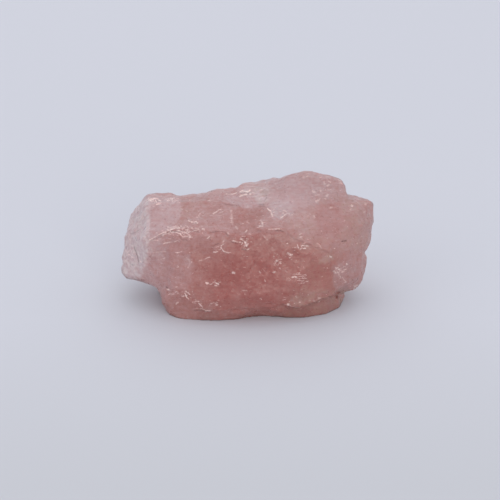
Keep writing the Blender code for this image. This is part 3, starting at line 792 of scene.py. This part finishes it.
def inside_patch(places, outline, softness):
    """Share, 0 to 1, by which 2-D places lie inside a closed outline."""
    x, y = places.T
    inside = np.zeros(len(places), bool)
    closed = list(outline) + [outline[0]]
    for (x0, y0), (x1, y1) in zip(closed, closed[1:]):
        if y0 == y1:
            continue
        crosses = (y0 > y) != (y1 > y)
        inside ^= crosses & (x < x0 + (y - y0) * (x1 - x0) / (y1 - y0))
    distance = np.abs(beside_line(places, closed)[0])
    return smoothstep(-softness, softness, np.where(inside, distance, -distance))


def near_any(places, line, reach):
    """Numbers of the places that lie within reach of the line's box."""
    line = np.array(line)
    low, high = line.min(axis=0) - reach, line.max(axis=0) + reach
    return np.flatnonzero(np.all((places > low) & (places < high), axis=1))


# ---------------------------------------------------------------- carving and colouring the skin
TONE_NAMES = ("rose", "milk", "sand", "smoke_and_shade", "calm")


def tones_at(points, places):
    """The tones at each point: those of the places, blended by their nearness."""
    warp = np.stack([noise_at(points, TONE_WARP_SIZE, seed, 3) for seed in (1, 2, 3)], axis=1)
    warped = points + TONE_WARP * warp
    total = np.full(len(points), 1e-12)
    mixed = {name: np.zeros(len(points)) for name in TONE_NAMES}
    for place, reach, tone in places:
        distance = np.linalg.norm(warped - np.array(place), axis=1)
        weight = np.exp(-0.5 * (distance / reach) ** 2)
        total += weight
        for name in TONE_NAMES:
            mixed[name] += weight * tone.get(name, 0.0)
    return {name: values / total for name, values in mixed.items()}


def cut_flakes(skin, start, normals, seen, calm, rng):
    """Cuts every size of flake, then the fine grain."""
    for spacing, shell_radius, slope, front_share, other_share in FLAKES:
        share = other_share + (front_share - other_share) * seen
        depth = flakes(start, normals, rng, spacing, shell_radius, slope)
        skin.push_in(share * depth * (1.0 - CALMED_SHARE * calm), normals)
    grain = noise_at(start, GRAIN_SIZE, 8, 4)
    skin.push_in(GRAIN_DEPTH * grain * (GRAIN_ENDS - calm), normals)


def draw_hidden_veins(veins_and_glints, points, normals, seen, rng):
    """Clusters of short pale strokes on the sides that the photograph doesn't show."""
    hidden = np.flatnonzero((seen < UNSEEN) & (points[:, 2] > HIDDEN_HEIGHT))
    for seed in rng.choice(hidden, HIDDEN_CLUSTERS, replace=False):
        normal = normals[seed]
        first = np.cross(normal, (0.0, 0.0, 1.0))
        first /= np.linalg.norm(first)
        second = np.cross(normal, first)
        away = points - points[seed]
        reach = rng.uniform(*CLUSTER_REACH)
        near = np.linalg.norm(away, axis=1) < reach + STROKE_MARGIN
        where = np.flatnonzero(near & (normals @ normal > SAME_SIDE))
        places = np.stack([away[where] @ first, away[where] @ second], axis=1)
        lean = rng.normal(0.0, CLUSTER_LEAN)
        for _ in range(rng.integers(*STROKES_PER_CLUSTER)):
            angle = lean + rng.normal(0.0, STROKE_LEAN)
            line = [rng.normal(0.0, 0.5, 2) * reach]
            for _ in range(1 + rng.integers(*BENDS_PER_STROKE)):
                angle += rng.normal(0.0, BEND_LEAN)
                step = np.array([math.cos(angle), math.sin(angle)]) * rng.uniform(*BEND_SPACING)
                line.append(line[-1] + step)
            half_width = rng.uniform(*STROKE_HALF_WIDTH)
            veins_and_glints.draw(where, places, line, half_width, rng.uniform(*STROKE_STRENGTH))


def build_stone():
    """The fine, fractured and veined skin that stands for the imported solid."""
    stone = fine_copy(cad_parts[NODE])
    skin = Skin(stone.data)
    skin.smooth(SKIN_SMOOTHING)
    normals = skin.normals(NORMAL_SMOOTHING)
    start = skin.points.copy()
    rng = np.random.default_rng(CHANCE_SEED)
    tree = BVHTree.FromPolygons([tuple(p) for p in start], [tuple(f.vertices) for f in stone.data.polygons])

    def on_stone(pixel):
        """Where the pixel's ray meets the stone, or the place nearest to it."""
        hit = tree.ray_cast(EYE, photo_ray(pixel))[0]
        if hit is None:
            hit = tree.find_nearest(EYE + photo_ray(pixel) * VIEW_DISTANCE)[0]
        return np.array(hit)

    towards = normals @ np.array(TO_CAMERA)
    seen = smoothstep(*SEEN, towards)
    cracked = smoothstep(*CRACKED, towards)
    pixels = photo_pixels(start)
    wander = np.stack([noise_at(start, WANDER_SIZE, seed, 3) for seed in (4, 5)], axis=1)
    ragged = (pixels + EDGE_WANDER * wander) / PX_PER_MM

    # tones
    places = [(on_stone(pixel), reach, tone) for pixel, reach, tone in FRONT_TONES.values()]
    tones = tones_at(start, places + list(OTHER_TONES.values()))
    for outline, softness, tone in PATCHES.values():
        share = seen * inside_patch(ragged, np.array(outline) / PX_PER_MM, softness)
        for name, value in tone.items():
            tones[name] += share * (value - tones[name])

    # painted shade: arrises that turn away from the camera are darkened, through the smoke tone
    none, full = (edge - shift * tones["milk"] for edge, shift in zip(TURNING, TURNING_IN_MILK))
    turning = smoothstep(none, full, towards) * smoothstep(*RIM_SHADE_ENDS, towards)
    arris = smoothstep(*ARRIS_PROUD, skin.proud(ARRIS_PASSES, normals))
    tones["smoke_and_shade"] += RIM_PAINTED_SHADE * arris * turning

    # soft forms, ledges and flakes
    soft = smoothstep(*SOFT_CALM, tones["calm"]) * smoothstep(*SOFTENED, towards)
    skin.smooth(SOFT_PASSES, soft[:, None])
    normals = skin.normals(NORMAL_SMOOTHING)
    for line, drop, reach in LEDGES.values():
        across, past = beside_line(ragged, np.array(line) / PX_PER_MM)
        fade = np.clip(1.0 - (np.abs(across) + past) / reach, 0.0, 1.0) ** 2
        step = 0.5 + 0.5 * np.clip(across / LEDGE_SHARPNESS, -1.0, 1.0)
        skin.push_in(drop * fade * (step - LEDGE_RAISED) * seen, normals)
    cut_flakes(skin, start, normals, seen, tones["calm"], rng)

    # veins with painted glints, cracks with painted shade lines, and iron stains
    veins_and_glints, cracks_and_shade_lines, iron = Strokes(skin.count, VEIN_LAYERS), Strokes(skin.count), Strokes(skin.count)
    slightly_ragged = (pixels + LINE_WANDER * wander) / PX_PER_MM

    def draw_in_photo(strokes, line, half_width, strength):
        """Draws a line given by pixels; returns the points near it, and the line in millimetres."""
        line = np.array(line) / PX_PER_MM
        where = near_any(slightly_ragged, line, STROKE_MARGIN)
        strokes.draw(where, slightly_ragged[where], line, half_width, strength * seen[where])
        return where, line

    for line, half_width, strength in (stroke for group in VEINS.values() for stroke in group):
        draw_in_photo(veins_and_glints, line, VEIN_FINENESS * half_width, strength)
    for line, half_width, strength, depth in (stroke for group in CRACKS.values() for stroke in group):
        where, line = draw_in_photo(cracks_and_shade_lines, line, half_width, strength)
        across, past = beside_line(slightly_ragged[where], line)
        notch = np.zeros(skin.count)
        open_share = smoothstep(CRACK_SIDES * half_width, 0.0, np.abs(across) + past)
        notch[where] = depth * open_share * cracked[where]
        skin.push_in(notch, normals)
    for line, half_width, strength in IRON_SPOTS:
        draw_in_photo(iron, line, half_width, strength)
    draw_hidden_veins(veins_and_glints, start, normals, seen, rng)

    # flecks, partly painted glints
    flecks_and_glints = np.full(skin.count, STRAY_FLECKS)
    for pixel, spread, density in (cluster for clusters in FLECKS.values() for cluster in clusters):
        distance = np.linalg.norm(start - on_stone(pixel), axis=1)
        gathered = np.exp(-0.5 * (distance / (FLECK_GATHERING * spread)) ** 2)
        flecks_and_glints = np.maximum(flecks_and_glints, density * gathered)

    foot_end = smoothstep(*FOOT_X, start[:, 0]) * smoothstep(*FOOT_Z, start[:, 2])
    skin.points[:, 0] -= FOOT_SET_BACK * foot_end
    skin.write()
    for name in TONE_NAMES:
        skin.attribute(name, tones[name])
    veins_and_glints.store(skin, "veins_and_glints")
    cracks_and_shade_lines.store(skin, "cracks_and_shade_lines")
    iron.store(skin, "iron")
    skin.attribute("flecks_and_glints", flecks_and_glints)
    stone.data.polygons.foreach_set("use_smooth", np.ones(len(stone.data.polygons), bool))
    stone.data.materials.clear()
    stone.data.materials.append(quartz_material())
    return stone


# ---------------------------------------------------------------- materials
def srgb(red, green, blue):
    """Linear colour from 0-255 values."""
    def linear(value):
        value /= 255.0
        return value / 12.92 if value <= 0.04045 else ((value + 0.055) / 1.055) ** 2.4
    return (linear(red), linear(green), linear(blue), 1.0)


# Colours of the stone, from pale to deep.
PALE_MAUVE = srgb(200, 174, 176)
PINK = srgb(186, 144, 141)
SALMON = srgb(172, 115, 108)
DEEP_SALMON = srgb(162, 93, 86)
MILK_WHITE = srgb(218, 203, 200)
SAND = srgb(174, 145, 126)
# white of the veins and of the painted glints
VEIN_AND_GLINT_WHITE = srgb(246, 222, 215)
# brown-grey of the smoke tone, partly painted shade
SMOKE_AND_SHADE = srgb(92, 68, 66)
# brown of the cracks, also used for painted shade lines and painted crevice shade
CRACK_AND_SHADE_BROWN = srgb(100, 58, 54)
IRON_BROWN = srgb(120, 52, 30)

# Grain of the colour: size in mm, and how far it moves rose to each side.
BLOTCHES = (3.6, 0.06)
MOTTLE = (0.9, 0.12)
GRANULES = (0.32, 0.05)
STREAKS, STREAK_STRETCH = (0.5, 0.06), (7.0, 2.0, 1.0)
FINE_GRAIN_LEFT = (0.9, 0.2)  # share of the mottle and granules where calm is 0.4 or less, and 1

# How far each marking covers the colour below it.
SAND_COVER, CRACK_COVER, VEIN_COVER = 0.8, 0.9, 0.96
FLECK_COVER, GLINT_COVER, GAP_COVER = 0.7, 0.8, 0.35
FLECK_SIZE, FLECK_STRETCH = 0.6, (2.2, 1.0, 1.0)  # mm
FLECK_REACH, FLECK_EDGE = 0.42, 9.0  # cells at full density, and how hard the edge is
GLINT_SIZE, GLINT_STRETCH = 0.42, (2.6, 1.3, 1.0)  # mm
GLINT_LEVELS, GLINT_EDGE = (0.70, 0.54), 16.0  # of the noise, at no and at full density of flecks
GAP_LEVELS = (0.42, 0.34)  # of the same noise, where the painted crevice shade begins and is full
SAND_SIZE, SAND_LEVELS = 1.2, (0.35, 0.6)  # mm, and levels of the noise
WISP_SIZE, WISP_STRETCH, WISP_LEVELS = 1.4, (2.0, 1.0, 1.0), (0.40, 0.62)
# Edge of each kind of line in half widths, and the least share left where it is broken.
CRACK_LINE, VEIN_LINE, IRON_LINE = (1.4, 0.6), (1.3, 0.25), (1.6, 0.9)

# Relief as bump: size of the facets in mm, and its shares of a millimetre.
WIDE_FACETS = (1.4, 0.36)
SMALL_FACETS = (0.6, 0.14)
RELIEF_GRAIN = (0.3, 0.025)
VEIN_RELIEF = 0.05
RELIEF_DEPTH = 1.0  # mm
CALMED_RELIEF = 0.35  # share of the relief that is left where calm is 1
ROUGHNESS, ROUGHNESS_SIZE = (0.24, 0.46), 1.1  # mm

# Light in the stone: rough rose quartz lets little light straight through, and scatters it near the surface.
QUARTZ_IOR = 1.54
SCATTERED = 0.5
SCATTER_RADII = (1.0, 0.55, 0.5)
SCATTER_LENGTH = 1.6  # mm
TRANSMITTED = 0.03
ABSORBING, ABSORPTION = (0.9, 0.45, 0.42, 1.0), 30.0  # per metre


class Nodes:
    """Short ways to add and link a material's shader nodes. A value is a number or a socket."""

    def __init__(self, material):
        material.use_nodes = True
        self.tree = material.node_tree
        self.shader = self.tree.nodes["Principled BSDF"]
        self.output = self.tree.nodes["Material Output"]

    def add(self, kind, inputs=(), **settings):
        """A new node with its inputs, by name or number, and its settings."""
        node = self.tree.nodes.new(kind)
        for key, value in settings.items():
            setattr(node, key, value)
        for key, value in dict(inputs).items():
            self.feed(node.inputs[key], value)
        return node

    def feed(self, socket, value):
        if isinstance(value, bpy.types.NodeSocket):
            self.tree.links.new(value, socket)
        else:
            socket.default_value = value

    def attribute(self, name):
        """A number that the skin stores."""
        return self.add("ShaderNodeAttribute", attribute_name=name).outputs["Fac"]

    def vector_attribute(self, name):
        """The three numbers of a vector that the skin stores."""
        vector = self.add("ShaderNodeAttribute", attribute_name=name).outputs["Vector"]
        return self.add("ShaderNodeSeparateXYZ", {0: vector}).outputs

    def maths(self, operation, a, b=0.0, clamp=False):
        node = self.add("ShaderNodeMath", operation=operation, use_clamp=clamp)
        self.feed(node.inputs[0], a)
        self.feed(node.inputs[1], b)
        return node.outputs[0]

    def total(self, *values):
        result = values[0]
        for value in values[1:]:
            result = self.maths("ADD", result, value)
        return result

    def place(self, size_mm, stretch=(1.0, 1.0, 1.0)):
        """Object coordinates in units of the given size, longer along an axis where stretch is more."""
        place = self.add("ShaderNodeTexCoord").outputs["Object"]
        scale = [1.0 / (size_mm * MM * s) for s in stretch]
        return self.add("ShaderNodeMapping", {"Vector": place, "Scale": scale}).outputs[0]

    def noise(self, size_mm, detail=3.0, distortion=0.0, stretch=(1.0, 1.0, 1.0)):
        inputs = {"Vector": self.place(size_mm, stretch), "Scale": 1.0, "Detail": detail,
                  "Distortion": distortion}
        return self.add("ShaderNodeTexNoise", inputs).outputs["Fac"]

    def grain(self, size_and_amount, detail, distortion=0.0, stretch=(1.0, 1.0, 1.0)):
        """Noise of the size, in mm, as a number from -amount to amount."""
        size_mm, amount = size_and_amount
        return self.map_range(self.noise(size_mm, detail, distortion, stretch), 0.3, 0.7, -amount, amount)

    def glint_chips(self, size_mm, stretch):
        """Distance to the nearest of many scattered dashes, bent by noise."""
        place = self.place(size_mm, stretch)
        bend = self.add("ShaderNodeTexNoise", {"Vector": place, "Scale": 1.6, "Detail": 2.0})
        moved = self.add("ShaderNodeVectorMath", {0: place, 1: bend.outputs["Color"]})
        cells = self.add("ShaderNodeTexVoronoi", {"Vector": moved.outputs[0], "Scale": 1.0})
        return cells.outputs["Distance"]

    def facets(self, size_mm):
        """Height, in cells, of flat facets that each lean their own way."""
        place = self.place(size_mm)
        cells = self.add("ShaderNodeTexVoronoi", {"Vector": place, "Scale": 1.0})
        away = self.add("ShaderNodeVectorMath", {0: place, 1: cells.outputs["Position"]},
                        operation="SUBTRACT")
        lean = self.add("ShaderNodeVectorMath", {0: cells.outputs["Color"], 1: (0.5, 0.5, 0.5)},
                        operation="SUBTRACT")
        return self.add("ShaderNodeVectorMath", {0: away.outputs[0], 1: lean.outputs[0]},
                        operation="DOT_PRODUCT").outputs["Value"]

    def map_range(self, value, low, high, to_low=0.0, to_high=1.0):
        inputs = {"Value": value, "From Min": low, "From Max": high, "To Min": to_low, "To Max": to_high}
        return self.add("ShaderNodeMapRange", inputs).outputs["Result"]

    def mix(self, share, a, b):
        """Colour a, turned to colour b by its share."""
        node = self.add("ShaderNodeMix", data_type="RGBA")
        self.feed(node.inputs["Factor"], share)
        self.feed(node.inputs[6], a)
        self.feed(node.inputs[7], b)
        return node.outputs[2]

    def ramp(self, value, stops):
        """A colour ramp through the stops, each a position and a colour."""
        node = self.add("ShaderNodeValToRGB", {"Fac": value})
        elements = node.color_ramp.elements
        while len(elements) < len(stops):
            elements.new(0.5)
        for element, (position, colour) in zip(elements, stops):
            element.position = position
            element.color = colour
        return node.outputs["Color"]

    def stroke(self, name, edge, least, layers=1):
        """Share of stored lines at each place: full along their middles, gone past their wavering edges,
        and weakened by noise down to the least share."""
        waver = self.grain((0.45, 0.5), 2.0)
        broken = self.map_range(self.noise(0.7, 2.0), 0.36, 0.54, least, 1.0)
        most = 0.0
        for number in range(layers):
            across, _, strength = self.vector_attribute(f"{name} {number}")
            wavering = self.maths("ABSOLUTE", self.maths("ADD", across, waver))
            core = self.map_range(wavering, edge, 0.3 * edge)
            most = self.maths("MAXIMUM", self.maths("MULTIPLY", core, strength), most)
        return self.maths("MULTIPLY", most, broken)


def quartz_material():
    """Rose quartz: cloudy pink with sand and smoke, veins, cracks, flecks and iron stains, with painted
    glints among the pale marks and painted shade among the smoke and the dark lines.
    """
    material = bpy.data.materials.new("rose_quartz")
    n = Nodes(material)

    # the stone's own colour, with the smoke tone, which is partly painted shade
    blotches = n.grain(BLOTCHES, 4.0)
    fine_left = n.map_range(n.attribute("calm"), 0.4, 1.0, *FINE_GRAIN_LEFT)
    fine = n.maths("MULTIPLY", n.total(n.grain(MOTTLE, 4.0), n.grain(GRANULES, 2.0)), fine_left)
    streaks = n.grain(STREAKS, 3.0, 0.6, STREAK_STRETCH)
    depth = n.total(n.attribute("rose"), blotches, fine, streaks)
    colour = n.ramp(depth, [(0.0, PALE_MAUVE), (0.35, PINK), (0.7, SALMON), (1.0, DEEP_SALMON)])
    patchy = n.map_range(n.noise(SAND_SIZE, 4.0), *SAND_LEVELS)
    sand = n.maths("MULTIPLY", n.attribute("sand"), patchy, clamp=True)
    colour = n.mix(n.maths("MULTIPLY", sand, SAND_COVER), colour, SAND)
    wisps = n.map_range(n.noise(WISP_SIZE, 5.0, 1.2, WISP_STRETCH), *WISP_LEVELS)
    colour = n.mix(n.maths("MULTIPLY", n.attribute("milk"), wisps, clamp=True), colour, MILK_WHITE)
    # smoke: a brown-grey dulling, and painted shade on the rims, under the lip and along the foot's edge
    colour = n.mix(n.attribute("smoke_and_shade"), colour, SMOKE_AND_SHADE)

    # cracks with painted shade lines, veins and flecks with painted glints, painted crevice shade, and iron
    crack_and_shade_line = n.stroke("cracks_and_shade_lines", *CRACK_LINE)
    colour = n.mix(n.maths("MULTIPLY", crack_and_shade_line, CRACK_COVER), colour, CRACK_AND_SHADE_BROWN)
    vein_and_glint = n.stroke("veins_and_glints", *VEIN_LINE, VEIN_LAYERS)
    colour = n.mix(n.maths("MULTIPLY", vein_and_glint, VEIN_COVER), colour, VEIN_AND_GLINT_WHITE)
    flecks_and_glints = n.attribute("flecks_and_glints")
    # chips: scattered white dashes, partly painted glints
    reach = n.maths("MULTIPLY", flecks_and_glints, FLECK_REACH)
    chip_glint = n.maths("SUBTRACT", reach, n.glint_chips(FLECK_SIZE, FLECK_STRETCH))
    chip_glint = n.maths("MULTIPLY", chip_glint, FLECK_EDGE, clamp=True)
    colour = n.mix(n.maths("MULTIPLY", chip_glint, FLECK_COVER), colour, VEIN_AND_GLINT_WHITE)
    # painted glints: short white dashes where the flecks are dense
    dashes = n.noise(GLINT_SIZE, 3.0, 0.8, GLINT_STRETCH)
    glint = n.maths("SUBTRACT", dashes, n.map_range(flecks_and_glints, 0.0, 1.0, *GLINT_LEVELS))
    glint = n.maths("MULTIPLY", glint, GLINT_EDGE, clamp=True)
    colour = n.mix(n.maths("MULTIPLY", glint, GLINT_COVER), colour, VEIN_AND_GLINT_WHITE)
    # painted crevice shade: dark gaps beside the painted glints
    crevice_shade = n.maths("MULTIPLY", n.map_range(dashes, *GAP_LEVELS), flecks_and_glints)
    colour = n.mix(n.maths("MULTIPLY", crevice_shade, GAP_COVER), colour, CRACK_AND_SHADE_BROWN)
    colour = n.mix(n.stroke("iron", *IRON_LINE), colour, IRON_BROWN)
    n.feed(n.shader.inputs["Base Color"], colour)

    # gloss and fine relief
    n.feed(n.shader.inputs["Roughness"], n.map_range(n.noise(ROUGHNESS_SIZE, 3.0), 0.3, 0.7, *ROUGHNESS))
    restless = n.map_range(n.attribute("calm"), 0.0, 1.0, 1.0, CALMED_RELIEF)
    relief = n.total(
        n.maths("MULTIPLY", n.facets(WIDE_FACETS[0]), WIDE_FACETS[1]),
        n.maths("MULTIPLY", n.facets(SMALL_FACETS[0]), SMALL_FACETS[1]),
        n.maths("MULTIPLY", n.noise(RELIEF_GRAIN[0], 3.0), RELIEF_GRAIN[1]),
        n.maths("MULTIPLY", vein_and_glint, VEIN_RELIEF),
    )
    bump = n.add("ShaderNodeBump", {"Height": relief, "Strength": restless, "Distance": RELIEF_DEPTH * MM})
    n.feed(n.shader.inputs["Normal"], bump.outputs["Normal"])

    # light in the stone
    n.shader.inputs["IOR"].default_value = QUARTZ_IOR
    n.shader.inputs["Subsurface Weight"].default_value = SCATTERED
    n.shader.inputs["Subsurface Radius"].default_value = SCATTER_RADII
    n.shader.inputs["Subsurface Scale"].default_value = SCATTER_LENGTH * MM
    n.shader.inputs["Transmission Weight"].default_value = TRANSMITTED
    absorption = n.add("ShaderNodeVolumeAbsorption", {"Color": ABSORBING, "Density": ABSORPTION})
    n.tree.links.new(absorption.outputs["Volume"], n.output.inputs["Volume"])
    return material


def floor_material():
    """Plain and matt, with painted shade that makes it a little darker towards the front, where less light
    falls.
    """
    material = bpy.data.materials.new("floor")
    n = Nodes(material)
    place = n.add("ShaderNodeTexCoord").outputs["Object"]
    along = n.add("ShaderNodeSeparateXYZ", {0: place}).outputs["Y"]
    near = n.map_range(along, NEAR_BEGINS * MM, NEAR_FULL * MM)
    n.feed(n.shader.inputs["Base Color"], n.mix(near, FLOOR_FAR, FLOOR_NEAR))
    n.shader.inputs["Roughness"].default_value = 0.8
    return material


# ---------------------------------------------------------------- floor and light
FLOOR_SIZE = 6.0  # m
FLOOR_FAR = srgb(210, 213, 219)
FLOOR_NEAR = srgb(202, 205, 209)
NEAR_BEGINS, NEAR_FULL = -15.0, -95.0  # mm along Y, where the floor's darker near colour, painted shade, fades in
FLOOR_DROP = 0.00002  # m, so that the floor and the resting face don't share a plane

TENT_WALLS, TENT_STRENGTH = srgb(231, 231, 240), 0.96
LIT_PLACE = Vector((0.0, 0.0, 0.015))  # m, the middle of the stone
# Softboxes: place in m, side in m, power in watts and colour.
SOFTBOXES = {
    "tent roof": ((-0.1, 0.55, 0.9), 1.2, 2.0, (1.0, 0.985, 0.96)),
    "tent left": ((-1.3, -0.9, 0.8), 1.0, 1.5, (1.0, 0.985, 0.96)),
    "tent front": ((0.5, -1.5, 0.5), 1.0, 6.5, (1.0, 0.985, 0.87)),
}


def make_floor():
    """The plain floor that the stone rests on."""
    bpy.ops.mesh.primitive_plane_add(size=FLOOR_SIZE, location=(0.0, 0.0, -FLOOR_DROP))
    floor = bpy.context.object
    floor.name = "floor"
    floor.data.materials.append(floor_material())


def softbox(name, place, size, watts, colour):
    """A square area light that faces the stone."""
    data = bpy.data.lights.new(name, "AREA")
    data.size = size
    data.energy = watts
    data.color = colour
    light = bpy.data.objects.new(name, data)
    light.location = place
    light.rotation_euler = (LIT_PLACE - Vector(place)).to_track_quat("-Z", "Y").to_euler()
    bpy.context.scene.collection.objects.link(light)


def make_light():
    """Soft light from all round, as in a light tent, and three softboxes."""
    scene = bpy.context.scene
    scene.world = bpy.data.worlds.new("tent")
    scene.world.use_nodes = True
    background = scene.world.node_tree.nodes["Background"]
    background.inputs["Color"].default_value = TENT_WALLS
    background.inputs["Strength"].default_value = TENT_STRENGTH
    for name, (place, size, watts, colour) in SOFTBOXES.items():
        softbox(name, place, size, watts, colour)


def main():
    """Builds the scene."""
    make_camera()
    make_floor()
    make_light()
    bpy.context.scene.view_settings.view_transform = "Standard"
    stone = build_stone()
    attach(stone, "root")
    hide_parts(NODE)


main()
